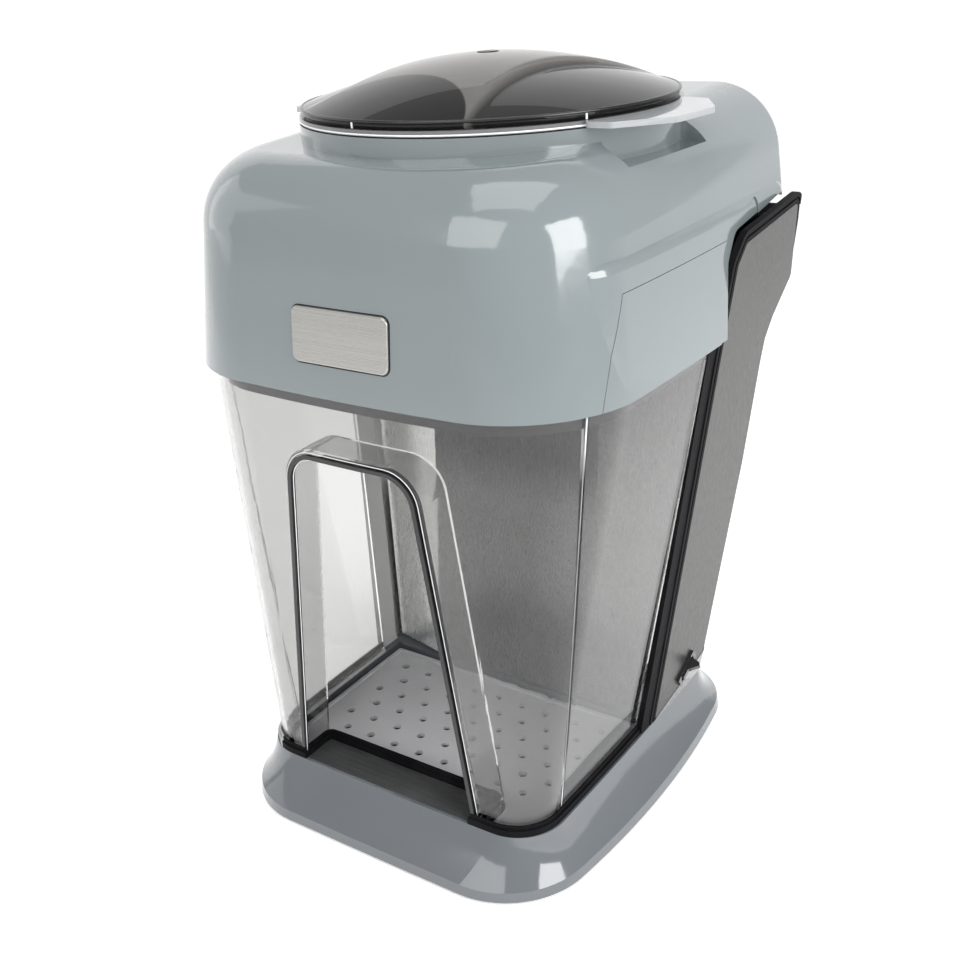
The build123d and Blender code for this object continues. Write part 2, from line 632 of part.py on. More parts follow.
def main_gear():
    body = gear(MAIN_TEETH, MAIN_TO_IDLER, UPPER_GEAR_Z, GEAR_H, 0, LID_Y, SHAFT_R)
    return body - tube(25.0, 11.0, UPPER_GEAR_Z + 6.0, UPPER_GEAR_Z + 20)


def idler_gear():
    """Compound gear; a gap faces the pinion and a gap faces the main gear."""
    big_phase = IDLER_TO_PINION + 180 / IDLER_BIG_TEETH
    small_phase = MAIN_TO_IDLER + 180 + 180 / IDLER_SMALL_TEETH
    place = (IDLER_X, IDLER_Y, 4.0 + RUN)
    big = gear(IDLER_BIG_TEETH, big_phase, LOWER_GEAR_Z, GEAR_H, *place)
    small = gear(IDLER_SMALL_TEETH, small_phase, UPPER_GEAR_Z - 1.6, GEAR_H + 1.6, *place)
    return big + small


def idler_pin():
    return rod(4.0, CASE_Z + 1.0, CASE_TOP_Z - 0.2, IDLER_X, IDLER_Y)


def gearbox_outline(grow=0.0):
    main = Pos(0, LID_Y) * Circle(38.5 + grow)
    rear = Pos(0, MOTOR_Y) * Circle(16 + grow)
    idler = Pos(IDLER_X, IDLER_Y) * Circle(28.5 + grow)
    bridge = Pos(0, (LID_Y + MOTOR_Y) / 2) * Rectangle(2 * (16 + grow), MOTOR_Y - LID_Y)
    return main + rear + idler + bridge


def gearbox_case():
    body = extrude(Pos(0, 0, CASE_Z) * gearbox_outline(), CASE_TOP_Z - CASE_Z)
    body -= extrude(Pos(0, 0, CASE_Z + 2.5) * gearbox_outline(-2.5), 60)
    body -= rod(8.0, 280, 400)
    body -= rod(4.0, 280, 400, IDLER_X, IDLER_Y)
    return body - rod(8.0, 280, 400, 0, MOTOR_Y)


def gearbox_lid():
    lid = extrude(Pos(0, 0, CASE_TOP_Z) * gearbox_outline(), 2.5)
    lid -= rod(4.0, 280, 400, IDLER_X, IDLER_Y)
    return lid - rod(8.0, 280, 400)


def cutter_bushes():
    low = tube(8.0, SHAFT_R + RUN, CASE_Z, CASE_Z + 4.0)
    high = tube(8.0, SHAFT_R + RUN, CASE_TOP_Z - 2.0, CASE_TOP_Z + 4.5)
    return [low, high]


def cutter_shaft():
    shaft = rod(SHAFT_R, CASE_Z + 0.5, DISC_Z + DISC_H + 14)
    return shaft + tube(9.0, SHAFT_R - 1, CASE_TOP_Z + 5.0, DISC_Z)


def cutter_disc():
    disc = rod(DISC_R, DISC_Z, DISC_Z + DISC_H) - rod(SHAFT_R, 300, 400)
    for turn in (0, 180):
        slot = box(22, 67, -7.0, 7.0, DISC_Z - 1, DISC_Z + DISC_H + 1)
        disc -= Pos(0, LID_Y, 0) * Rot(0, 0, turn) * slot
    return disc


def cutter_blades():
    blades = []
    for turn in (0, 180):
        blade = Pos(44.5, -5.0, DISC_Z + DISC_H + 0.9) * Rot(-12, 0, 0) * Box(48, 18, 1.2)
        blade &= box(0, 100, -20, 4.0, DISC_Z + DISC_H, 400)
        blades.append(Pos(0, LID_Y, 0) * Rot(0, 0, turn) * blade)
    return blades


def cutter_knob():
    """Domed nut that clamps the disc, with stubby ice-driving wings."""
    z = DISC_Z + DISC_H
    body = tube(14.0, SHAFT_R, z, z + 10) + rod(14.0, z + 10, z + 16)
    body = fillet(body.faces().sort_by(Axis.Z)[-1].edges(), 5)
    for turn in (60, 240):
        wing = box(10, 60, -2.0, 2.0, z, z + 9)
        body += Pos(0, LID_Y, 0) * Rot(0, 0, turn) * wing
    return body - rod(SHAFT_R, z - 1, z + 14)


def motor_can():
    can = tube(27.0, 24.5, MOTOR_Z, MOTOR_TOP, 0, MOTOR_Y)
    can += tube(27.0, 5.0, MOTOR_TOP - 2.5, MOTOR_TOP, 0, MOTOR_Y)
    for side in (-1, 1):
        can -= rod(1.9, MOTOR_TOP - 8, MOTOR_TOP + 1, side * 20, MOTOR_Y)
    return can


def motor_end_cap():
    cap_body = tube(26.0, 4.0 + RUN, MOTOR_Z - 3.3, MOTOR_Z - 0.3, 0, MOTOR_Y)
    for turn in range(0, 360, 60):
        cap_body -= Pos(0, MOTOR_Y, MOTOR_Z - 2) * Rot(0, 0, turn) * Pos(15, 0, 0) * Box(9, 5, 10)
    return cap_body


def motor_windings():
    return tube(24.0, 18.0, MOTOR_Z + 12, MOTOR_Z + 58, 0, MOTOR_Y)


def motor_rotor():
    core = rod(17.0, MOTOR_Z + 18, MOTOR_Z + 52, 0, MOTOR_Y)
    return core + rod(4.0, MOTOR_Z - 14, LOWER_GEAR_Z + GEAR_H, 0, MOTOR_Y)


def motor_fan():
    fan = tube(8.0, 4.0, MOTOR_Z - 13, MOTOR_Z - 5.5, 0, MOTOR_Y)
    for turn in range(0, 360, 45):
        vane = Pos(14, 0, 0) * Rot(30, 0, 0) * Box(14, 6.5, 1.4)
        fan += Pos(0, MOTOR_Y, MOTOR_Z - 9.3) * Rot(0, 0, turn) * vane
    return fan


def pinion():
    return gear(PINION_TEETH, IDLER_TO_PINION + 180, LOWER_GEAR_Z, GEAR_H, 0, MOTOR_Y, 4.0)


def motor_bracket():
    """Folded plate over the motor, carrying the gearbox."""
    z0, z1 = MOTOR_TOP + 0.2, MOTOR_TOP + 2.7
    plate = box(-60, 60, 50.0, 100.0, z0, z1) - rod(8.5, 200, 400, 0, MOTOR_Y)
    for side in (-1, 1):
        plate += box(side * 60 - 1.5, side * 60 + 1.5, 50.0, 100.0, z0 - 22, z1)
        plate -= rod(2.0, 200, 400, side * 20, MOTOR_Y)
    return plate


def motor_screws():
    z = MOTOR_TOP + 2.9
    heads = [rod(4.0, z, z + 2.8, side * 20, MOTOR_Y) for side in (-1, 1)]
    return [head + rod(1.8, MOTOR_TOP - 6, z + 1, side * 20, MOTOR_Y) for head, side in zip(heads, (-1, 1))]


# ---------------------------------------------------------------- lid interlock

def interlock_pin():
    flange = rod(3.6, PIN_TOP - 15, PIN_TOP - 13.8, *PIN_PLACE)
    return rod(2.0, PIN_TOP - 20, PIN_TOP, *PIN_PLACE) + flange


def interlock_switch():
    x, y = PIN_PLACE
    z = PIN_TOP - 24
    return box(x - 10, x + 10, y - 3.2, y + 3.2, z - 10, z) + rod(1.2, z - 1, z + 0.7, x, y)


def build():
    return {
        "base_shell": base_shell(),
        "base_cover": base_cover(),
        "rubber_feet": rubber_feet(),
        "floor_gasket": floor_gasket(),
        "drip_grate": drip_grate(),
        "bin_front": bin_front(),
        "bin_side_left": bin_side(-1),
        "bin_side_right": bin_side(1),
        "arch_trim": arch_trim(),
        "column_side_left": column_side(-1),
        "column_side_right": column_side(1),
        "column_gaskets": column_gasket(),
        "column_back_cover": column_back_cover(),
        "column_front_panel": column_front_panel(),
        "cord_bushing": cord_bushing(),
        "upper_housing": upper_housing(),
        "side_cover_left": side_cover(-1),
        "side_cover_right": side_cover(1),
        "cover_strips": cover_strips(),
        "badge_plate": badge_plate(),
        "lower_frame": lower_frame(),
        "ice_chute": ice_chute(),
        "hopper": hopper(),
        "lid_dome": lid_dome(),
        "lid_ring": lid_ring(),
        "switch_bezel": switch_bezel(),
        "switch_rocker": switch_rocker(),
        "gearbox_case": gearbox_case(),
        "gearbox_lid": gearbox_lid(),
        "cutter_bushes": cutter_bushes(),
        "main_gear": main_gear(),
        "idler_gear": idler_gear(),
        "idler_pin": idler_pin(),
        "cutter_shaft": cutter_shaft(),
        "cutter_disc": cutter_disc(),
        "cutter_blades": cutter_blades(),
        "cutter_knob": cutter_knob(),
        "motor_can": motor_can(),
        "motor_end_cap": motor_end_cap(),
        "motor_windings": motor_windings(),
        "motor_rotor": motor_rotor(),
        "motor_fan": motor_fan(),
        "motor_pinion": pinion(),
        "motor_bracket": motor_bracket(),
        "motor_screws": motor_screws(),
        "interlock_pin": interlock_pin(),
        "interlock_switch": interlock_switch(),
    }


for name, part in build().items():
    shape = Compound(children=part) if isinstance(part, list) else part
    export_step(shape, f"parts/{name}.step")
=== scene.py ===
import math

import bmesh
import bpy
from mathutils import Matrix, Vector

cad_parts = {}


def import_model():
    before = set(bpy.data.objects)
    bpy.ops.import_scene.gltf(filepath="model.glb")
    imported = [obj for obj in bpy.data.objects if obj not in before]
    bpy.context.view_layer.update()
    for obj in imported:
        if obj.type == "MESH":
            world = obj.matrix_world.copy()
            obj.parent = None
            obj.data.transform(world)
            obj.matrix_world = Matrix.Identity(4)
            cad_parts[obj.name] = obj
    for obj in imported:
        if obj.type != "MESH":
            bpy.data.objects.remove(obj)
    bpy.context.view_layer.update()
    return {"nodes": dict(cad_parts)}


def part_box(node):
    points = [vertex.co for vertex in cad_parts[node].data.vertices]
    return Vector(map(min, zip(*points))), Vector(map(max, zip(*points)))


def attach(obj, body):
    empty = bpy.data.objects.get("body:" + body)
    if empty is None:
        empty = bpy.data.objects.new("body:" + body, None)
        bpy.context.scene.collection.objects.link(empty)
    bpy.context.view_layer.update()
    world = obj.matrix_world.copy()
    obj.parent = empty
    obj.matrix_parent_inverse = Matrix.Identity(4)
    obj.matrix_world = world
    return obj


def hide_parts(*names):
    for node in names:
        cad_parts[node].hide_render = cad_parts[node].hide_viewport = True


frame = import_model()
NODES = frame["nodes"]

# Lengths are in metres, in the frame of the CAD model: front towards -Y, up +Z.
MM = 0.001


# ---------------------------------------------------------------- materials

class Nodes:
    """A short way to build a material's node tree."""

    def __init__(self, name):
        self.material = bpy.data.materials.new(name)
        self.material.use_nodes = True
        self.tree = self.material.node_tree
        self.shader = self.tree.nodes["Principled BSDF"]

    def add(self, kind, **values):
        node = self.tree.nodes.new(kind)
        for key, value in values.items():
            setattr(node, key, value)
        return node

    def join(self, source, target):
        self.tree.links.new(source, target)

    def place(self, scale=(1.0, 1.0, 1.0)):
        """A place on the piece, with each axis stretched."""
        coordinates = self.add("ShaderNodeTexCoord")
        mapping = self.add("ShaderNodeMapping")
        mapping.inputs["Scale"].default_value = scale
        self.join(coordinates.outputs["Object"], mapping.inputs["Vector"])
        return mapping.outputs["Vector"]

    def facing(self):
        """The direction that the flat face points in."""
        return self.add("ShaderNodeNewGeometry").outputs["True Normal"]

    def noise(self, place, scale, detail=3.0, roughness=0.5):
        node = self.add("ShaderNodeTexNoise")
        node.inputs["Scale"].default_value = scale
        node.inputs["Detail"].default_value = detail
        node.inputs["Roughness"].default_value = roughness
        self.join(place, node.inputs["Vector"])
        return node.outputs["Fac"]

    def math(self, operation, first, second=0.0):
        node = self.add("ShaderNodeMath", operation=operation)
        for socket, value in zip(node.inputs, (first, second)):
            if isinstance(value, (int, float)):
                socket.default_value = value
            else:
                self.join(value, socket)
        return node.outputs[0]

    def axes(self, place):
        """The three numbers of a place or direction."""
        node = self.add("ShaderNodeSeparateXYZ")
        self.join(place, node.inputs[0])
        return node.outputs

    def span(self, value, low, high, start=0.0, end=1.0):
        """Low up to start, high from end, and a straight ramp between."""
        node = self.add("ShaderNodeMapRange")
        node.inputs["From Min"].default_value = start
        node.inputs["From Max"].default_value = end
        node.inputs["To Min"].default_value = low
        node.inputs["To Max"].default_value = high
        self.join(value, node.inputs["Value"])
        return node.outputs["Result"]

    def blend(self, factor, first, second):
        node = self.add("ShaderNodeMix", data_type="RGBA")
        for socket, value in ((node.inputs[6], first), (node.inputs[7], second)):
            if isinstance(value, tuple):
                socket.default_value = (*value, 1.0)
            else:
                self.join(value, socket)
        self.join(factor, node.inputs[0])
        return node.outputs[2]

    def bump(self, height, strength, distance):
        node = self.add("ShaderNodeBump")
        node.inputs["Strength"].default_value = strength
        node.inputs["Distance"].default_value = distance
        self.join(height, node.inputs["Height"])
        self.join(node.outputs["Normal"], self.shader.inputs["Normal"])

    def edges(self):
        """How near a sharp edge is: bright where the bevelled normal differs from the true one."""
        bevel = self.add("ShaderNodeBevel", samples=4)
        bevel.inputs["Radius"].default_value = 1.2 * MM
        geometry = self.add("ShaderNodeNewGeometry")
        dot = self.add("ShaderNodeVectorMath", operation="DOT_PRODUCT")
        self.join(bevel.outputs["Normal"], dot.inputs[0])
        self.join(geometry.outputs["Normal"], dot.inputs[1])
        return self.span(dot.outputs["Value"], 1.0, 0.0, 0.75, 0.995)

    def set(self, **values):
        """Plain values on the shader's own sockets; an underscore stands for a space."""
        for key, value in values.items():
            self.shader.inputs[key.replace("_", " ")].default_value = value


def shades(colour, variation):
    """A colour made a little darker and a little lighter."""
    return tuple(c * (1 - variation) for c in colour), tuple(min(1.0, c * (1 + variation)) for c in colour)


def moulded(name, colour, rough=0.18, coat=0.0, variation=0.06, grained=False):
    """Injection-moulded plastic: faint mottling, orange peel or fine grain, and rubbed edges."""
    n = Nodes(name)
    place = n.place()
    body = n.blend(n.span(n.noise(place, 9.0, 4.0), 0.0, 1.0, 0.3, 0.7), *shades(colour, variation))
    worn = tuple(min(1.0, c * 1.25 + 0.03) for c in colour)
    scuff = n.noise(place, 55.0, 2.0)
    wear = n.math("MULTIPLY", n.edges(), n.span(scuff, 0.0, 0.25, 0.35, 0.75))
    n.join(n.blend(wear, body, worn), n.shader.inputs["Base Color"])
    sheen = n.noise(place, 35.0, 4.0)
    n.join(n.span(sheen, rough * 0.8, rough * 1.35, 0.3, 0.7), n.shader.inputs["Roughness"])
    scale, strength, depth = (900.0, 0.25, 0.25 * MM) if grained else (160.0, 0.05, 0.4 * MM)
    n.bump(n.noise(place, scale, 2.0), strength, depth)
    n.set(Coat_Weight=coat, Coat_Roughness=0.06, IOR=1.5)
    return n.material


STREAK_ACROSS, STREAK_ALONG = 1800.0, 7.0      # how often the brushing repeats, per metre


def brushed(name, colour, along="Z", rough=0.3, variation=0.12, metal=1.0, overlay=None):
    """Brushed sheet metal, with streaks running along one axis."""
    n = Nodes(name)
    stretch = [STREAK_ACROSS] * 3
    stretch["XYZ".index(along)] = STREAK_ALONG
    streak = n.noise(n.place(tuple(stretch)), 1.0, 6.0, 0.65)
    broad = n.noise(n.place(), 7.0, 3.0)
    grain = n.math("ADD", n.math("MULTIPLY", broad, 0.45), streak)
    tone = n.blend(n.span(grain, 0.0, 1.0, 0.5, 0.95), *shades(colour, variation))
    if overlay:
        tone = overlay(n, tone)
    n.join(tone, n.shader.inputs["Base Color"])
    n.join(n.span(streak, rough * 0.75, rough * 1.3, 0.35, 0.65), n.shader.inputs["Roughness"])
    n.bump(streak, 0.008, 0.05 * MM)
    n.set(Metallic=metal)
    return n.material


def clear_plastic(name, tint, rough=0.03, milk=0.0, ior=1.45, overlay=None):
    """Clear moulded plastic with faint flow waves and hairline scuffs."""
    n = Nodes(name)
    place = n.place()
    haze = n.noise(place, 4.0, 3.0)
    light = tuple(min(1.0, c * 1.03) for c in tint)
    tone = n.blend(n.span(haze, 0.0, 1.0, 0.3, 0.7), tint, light)
    if overlay:
        tone = overlay(n, tone)
    n.join(tone, n.shader.inputs["Base Color"])
    scratches = n.noise(n.place((30.0, 30.0, 300.0)), 1.0, 5.0, 0.6)
    n.join(n.span(scratches, rough * 0.6, rough * 2.2, 0.35, 0.75), n.shader.inputs["Roughness"])
    n.bump(haze, 0.03, 1.0 * MM)
    n.set(Transmission_Weight=1.0 - milk, IOR=ior)
    return n.material


def rubber(name, colour, rough=0.42, shine=0.5, overlay=None):
    """Sealing rubber: slightly dusty, with a fine grain."""
    n = Nodes(name)
    place = n.place()
    dust = n.noise(place, 30.0, 5.0)
    grey = tuple(c * 1.9 + 0.006 for c in colour)
    tone = n.blend(n.span(dust, 0.0, 0.8, 0.45, 0.8), colour, grey)
    if overlay:
        tone = overlay(n, tone)
    n.join(tone, n.shader.inputs["Base Color"])
    n.join(n.span(dust, rough * 0.8, rough * 1.3, 0.3, 0.7), n.shader.inputs["Roughness"])
    n.bump(n.noise(place, 1200.0, 2.0), 0.2, 0.2 * MM)
    n.set(Specular_IOR_Level=shine)
    return n.material


# ---- overlays: tones that follow the shape of one piece; some are painted light and shade ----
PANEL_FOLD = 61 * MM               # upright folds of the wall behind the bin
# Painted light on the outer leaves of the wall behind the bin, and the painted shade tone under the
# housing.
LEFT_LEAF_PAINTED_LIGHT, RIGHT_LEAF_PAINTED_LIGHT, HEAD_PAINTED_SHADE = (0.95, 0.95, 0.94), (0.175, 0.175, 0.172), (0.035, 0.035, 0.037)
INNER_FACE, LEFT_INWARD_GREY = (0.92, 0.92, 0.91), (0.55, 0.55, 0.54)
# The lobe tint is painted shade: the dark, shaded inside seen through the clear lobes of the dome.
LOBE_PAINTED_SHADE, SEAT = (0.020, 0.020, 0.019), (0.20, 0.20, 0.205)
LID_LOW, LID_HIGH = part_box("lid_dome")
LID_CENTRE = Vector(((LID_LOW.x + LID_HIGH.x) / 2, (LID_LOW.y + LID_HIGH.y) / 2, 0.0))
LID_RADIUS = (LID_HIGH.x - LID_LOW.x) / 2
LID_TURN = math.radians(-6.6)      # the lid sits slightly turned
BAND_WAIST, BAND_FLARE = 38 * MM, 14 * MM      # half width of the band at its middle, and its growth
BAND_REACH = 82.5 * MM             # how far along the band that growth is measured
CREASE = 8 * MM                    # width of the step from the band to a side lobe
SCALLOP_AWAY, SCALLOP_R = 119.7 * MM, 65.5 * MM      # round bite at each end of the band
SOFT = 0.5 * MM                    # half width of a soft change of tone


def folded_panel_painted_light(n, tone):
    """Painted light and shade on the folded wall: the left outer leaf painted near white for light, the
    right leaf a slightly lighter painted tone, and painted shade darkening the wall towards its head under
    the housing, most in the middle.
    """
    x, _, z = n.axes(n.place())
    left = n.span(x, 1.0, 0.0, -PANEL_FOLD - SOFT, -PANEL_FOLD)
    right = n.span(x, 0.0, 1.0, PANEL_FOLD, PANEL_FOLD + SOFT)
    leaves = n.blend(right, n.blend(left, tone, LEFT_LEAF_PAINTED_LIGHT), RIGHT_LEAF_PAINTED_LIGHT)
    head = n.math("MULTIPLY", n.span(z, 0.0, 0.86, 180 * MM, 272 * MM), n.span(left, 1.0, 0.25))
    centre = n.math("MULTIPLY", n.span(left, 1.0, 0.0), n.span(right, 1.0, 0.0))
    shade = n.math("MULTIPLY", centre, n.span(z, 0.0, 0.9, 160 * MM, 190 * MM))
    return n.blend(n.math("MAXIMUM", head, shade), leaves, HEAD_PAINTED_SHADE)


def satin_inside(n, tone):
    """The side panels are plain satin on their inner faces."""
    x = n.axes(n.place())[0]
    outwards = n.math("MULTIPLY", n.axes(n.facing())[0], n.span(x, -1.0, 1.0, -1 * MM, 1 * MM))
    return n.blend(n.span(outwards, 1.0, 0.0, -0.5, -0.3), tone, INNER_FACE)


def left_inward_grey(n, tone):
    """Lighter grey on the inward faces of the seals on the left of the bin."""
    x = n.axes(n.place())[0]
    left = n.span(x, 1.0, 0.0, -85 * MM, -84.5 * MM)
    inwards = n.span(n.axes(n.facing())[0], 0.0, 1.0, -0.6, -0.4)
    return n.blend(n.math("MULTIPLY", left, inwards), tone, LEFT_INWARD_GREY)


def lid_lobes_painted_shade(n, tone):
    """Painted shade on the clear lobes, one each side of the frosted band, and on a scallop at its ends: a
    dark tint standing in for the shaded inside seen through them.
    """
    coordinates = n.add("ShaderNodeTexCoord")
    mapping = n.add("ShaderNodeMapping", vector_type="TEXTURE")
    mapping.inputs["Location"].default_value = LID_CENTRE
    mapping.inputs["Rotation"].default_value = (0.0, 0.0, LID_TURN)
    n.join(coordinates.outputs["Object"], mapping.inputs["Vector"])
    across, along = (n.math("ABSOLUTE", value) for value in n.axes(mapping.outputs["Vector"])[:2])
    ahead = n.math("ABSOLUTE", n.math("SUBTRACT", along, SCALLOP_AWAY))
    reach = n.math("SQRT", n.math("ADD", n.math("POWER", across, 2.0), n.math("POWER", ahead, 2.0)))
    scallop = n.span(reach, 1.0, 0.0, SCALLOP_R - SOFT, SCALLOP_R + SOFT)
    flare = n.math("MULTIPLY", n.math("POWER", along, 2.0), BAND_FLARE / BAND_REACH ** 2)
    beyond = n.math("SUBTRACT", across, flare)
    side = n.span(beyond, 0.0, 1.0, BAND_WAIST + 0.3 * CREASE, BAND_WAIST + CREASE)
    return n.blend(n.math("MAXIMUM", scallop, side), tone, LOBE_PAINTED_SHADE)


def ring_and_tab(n, tone):
    """The seat under the dome is smoky; only the tab and the nub are light."""
    distance = n.add("ShaderNodeVectorMath", operation="DISTANCE")
    n.join(n.place((1.0, 1.0, 0.0)), distance.inputs[0])
    distance.inputs[1].default_value = LID_CENTRE
    seat = n.span(distance.outputs["Value"], 1.0, 0.0, LID_RADIUS + 1.2 * MM, LID_RADIUS + 2.2 * MM)
    return n.blend(seat, tone, SEAT)


MATERIALS = {
    "housing": moulded("housing_grey", (0.172, 0.198, 0.204), rough=0.12, coat=0.6, variation=0.025),
    "base": moulded("base_grey", (0.116, 0.127, 0.139), rough=0.12, coat=0.6, variation=0.035),
    "clear": clear_plastic("clear_wall", (0.67, 0.67, 0.665)),
    # The dome's overlay paints shade on its clear lobes.
    "smoke": clear_plastic("smoked_dome", (0.285, 0.274, 0.262), rough=0.02, milk=0.37, ior=1.3,
                           overlay=lid_lobes_painted_shade),
    "tab": clear_plastic("lid_ring_clear", (0.66, 0.68, 0.70), rough=0.06, milk=0.45, overlay=ring_and_tab),
    # Near-white finish of the beads that paint highlights on polished clear edges.
    "edge": clear_plastic("pane_edge", (0.97, 0.97, 0.97), rough=0.1, milk=0.8),
    "hopper": moulded("hopper_dark", (0.030, 0.030, 0.031), rough=0.3),
    "black": rubber("seal_black", (0.008, 0.008, 0.009), shine=0.02, overlay=left_inward_grey),
    "pad": rubber("sill_pad_grey", (0.040, 0.041, 0.042), rough=0.5),
    "trim": rubber("arch_trim_black", (0.010, 0.010, 0.011), rough=0.2),
    "panel": brushed("side_panel_steel", (0.106, 0.105, 0.103), rough=0.36, variation=0.05, metal=0.85,
                     overlay=satin_inside),
    # The inner wall's overlay paints light on its outer leaves and shade under the housing.
    "inner": brushed("inner_wall_steel_painted_light", (0.155, 0.155, 0.155), rough=0.26, variation=0.03, metal=0.8,
                     overlay=folded_panel_painted_light),
    "dark": moulded("dark_plastic", (0.035, 0.036, 0.038), rough=0.38, variation=0.1, grained=True),
    "frame": moulded("frame_grey", (0.060, 0.061, 0.064), rough=0.35, variation=0.08, grained=True),
    # The grate's grey is partly painted light: its own grey raised to stand in for light that the clear
    # walls keep from it.
    "floor": moulded("grate_grey_painted_light", (0.60, 0.60, 0.615), rough=0.32, variation=0.05, grained=True),
    "badge": brushed("badge_silver", (0.40, 0.395, 0.375), along="X", variation=0.05, metal=0.7),
    "switch": moulded("switch_black", (0.010, 0.010, 0.011), rough=0.16, coat=0.4),
    "steel": brushed("ground_steel", (0.48, 0.48, 0.49), along="X", rough=0.25),
    "bronze": brushed("bush_bronze", (0.50, 0.33, 0.16), rough=0.35),
    "copper": brushed("winding_copper", (0.58, 0.26, 0.12), variation=0.25),
    "nylon": moulded("gear_nylon", (0.62, 0.60, 0.53), rough=0.4),
    "tin": brushed("motor_tin", (0.42, 0.42, 0.43)),
}

FINISHES = {
    "housing": ("upper_housing", "side_cover_left", "side_cover_right", "cover_strips"),
    "base": ("base_shell",),
    "clear": ("bin_front", "bin_side_left", "bin_side_right"),
    "smoke": ("lid_dome",),
    "tab": ("lid_ring",),
    "hopper": ("hopper",),
    "black": ("rubber_feet", "floor_gasket", "column_gaskets", "cord_bushing"),
    "trim": ("arch_trim",),
    "panel": ("column_side_left", "column_side_right"),
    "inner": ("column_front_panel",),
    "dark": ("base_cover", "column_back_cover", "ice_chute", "gearbox_case", "gearbox_lid",
             "interlock_switch", "motor_end_cap", "cutter_knob", "motor_fan"),
    "frame": ("lower_frame",),
    "floor": ("drip_grate",),
    "badge": ("badge_plate",),
    "switch": ("switch_bezel", "switch_rocker"),
    "steel": ("idler_pin", "motor_screws", "cutter_shaft", "cutter_disc", "cutter_blades",
              "motor_rotor", "motor_pinion"),
    "bronze": ("cutter_bushes",),
    "copper": ("motor_windings",),
    "nylon": ("main_gear", "idler_gear", "interlock_pin"),
    "tin": ("motor_can", "motor_bracket"),
}


def finish(obj, name):
    obj.data.materials.clear()
    obj.data.materials.append(MATERIALS[name])


for material, nodes in FINISHES.items():
    for node in nodes:
        finish(NODES[node], material)


# ---------------------------------------------------------------- mesh helpers

def new_mesh(name, build, smooth=True):
    mesh = bpy.data.meshes.new(name)
    bm = bmesh.new()
    build(bm)
    bmesh.ops.recalc_face_normals(bm, faces=bm.faces)
    bm.to_mesh(mesh)
    bm.free()
    for face in mesh.polygons:
        face.use_smooth = smooth
    obj = bpy.data.objects.new(name, mesh)
    bpy.context.scene.collection.objects.link(obj)
    return obj


def spin_rings(bm, rings, segments, centre, close=False):
    """Joins rings of (radius, z), or of functions of angle that give it, into a surface."""
    rows = []
    for ring in rings:
        row = []
        for step in range(segments):
            angle = 2 * math.pi * step / segments
            radius, z = ring(angle) if callable(ring) else ring
            place = centre + radius * Vector((math.cos(angle), math.sin(angle), 0.0))
            row.append(bm.verts.new((place.x, place.y, z)))
        rows.append(row)
    pairs = list(zip(rows, rows[1:]))
    if close:
        pairs.append((rows[-1], rows[0]))
    for low, high in pairs:
        for step in range(segments):
            after = (step + 1) % segments
            bm.faces.new((low[step], low[after], high[after], high[step]))
    return rows


# ---------------------------------------------------------------- lid

RIM_TOP = LID_LOW.z + 3.9 * MM
LOBE_SHARE = 0.76                  # height of the side lobes against the raised band
GATE_RISE = 0.3 * MM               # how far the gate mark stands above the dome
RIM_STEPS = 192                    # sides of the beads round the rim


def lid_height(x, y):
    """Height of the dome over the rim at a place measured from its centre."""
    across = x * math.cos(-LID_TURN) - y * math.sin(-LID_TURN)
    along = x * math.sin(-LID_TURN) + y * math.cos(-LID_TURN)
    edge = BAND_WAIST + BAND_FLARE * (along / BAND_REACH) ** 2
    share = min(1.0, max(0.0, (abs(across) - edge) / CREASE))
    share = share * share * (3 - 2 * share)
    fall = 1 - (math.hypot(x, y) / LID_RADIUS) ** 2
    rise = LID_HIGH.z - RIM_TOP - GATE_RISE
    return rise * fall * (1 - share * (1 - LOBE_SHARE))


def lid_dome():
    """The smoked dome: a raised band between two lower lobes, as a closed shell."""
    segments, rings = 256, 72
    shell = 2.2 * MM

    def build(bm):
        def ring(share, drop):
            radius = LID_RADIUS * share

            def at(angle):
                x, y = radius * math.cos(angle), radius * math.sin(angle)
                return radius, RIM_TOP + lid_height(x, y) - drop
            return at

        inner_share = 1 - shell / LID_RADIUS
        shares = [(step / rings) ** 0.85 for step in range(1, rings + 1)]
        outer = [ring(share, 0.0) for share in shares]
        outer += [(LID_RADIUS, RIM_TOP - 1.5 * MM), (LID_RADIUS, LID_LOW.z)]
        inner = [(LID_RADIUS - shell, LID_LOW.z), (LID_RADIUS - shell, RIM_TOP - 2.2 * MM)]
        inner += [ring(share * inner_share, shell) for share in reversed(shares)]
        rows = spin_rings(bm, outer + inner, segments, LID_CENTRE)
        for row, drop in ((rows[0], 0.0), (rows[-1], shell)):
            top = bm.verts.new((LID_CENTRE.x, LID_CENTRE.y, RIM_TOP + lid_height(0, 0) - drop))
            for step in range(segments):
                bm.faces.new((top, row[step], row[(step + 1) % segments]))

    obj = new_mesh("lid_shell", build)
    finish(obj, "smoke")
    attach(obj, "lid")
    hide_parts("lid_dome")


def lid_seal():
    """Dark bead where the dome meets its clear rim."""
    outer, inner = LID_RADIUS + 0.5 * MM, LID_RADIUS - 1.0 * MM
    low, high = RIM_TOP - 1.0 * MM, RIM_TOP + 0.5 * MM

    def build(bm):
        section = [(outer - 0.3 * MM, low), (outer, low + 0.4 * MM), (outer, high - 0.4 * MM),
                   (outer - 0.4 * MM, high), (inner, high), (inner, low)]
        spin_rings(bm, section, RIM_STEPS, LID_CENTRE, close=True)

    obj = new_mesh("lid_seal", build)
    finish(obj, "trim")
    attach(obj, "lid")


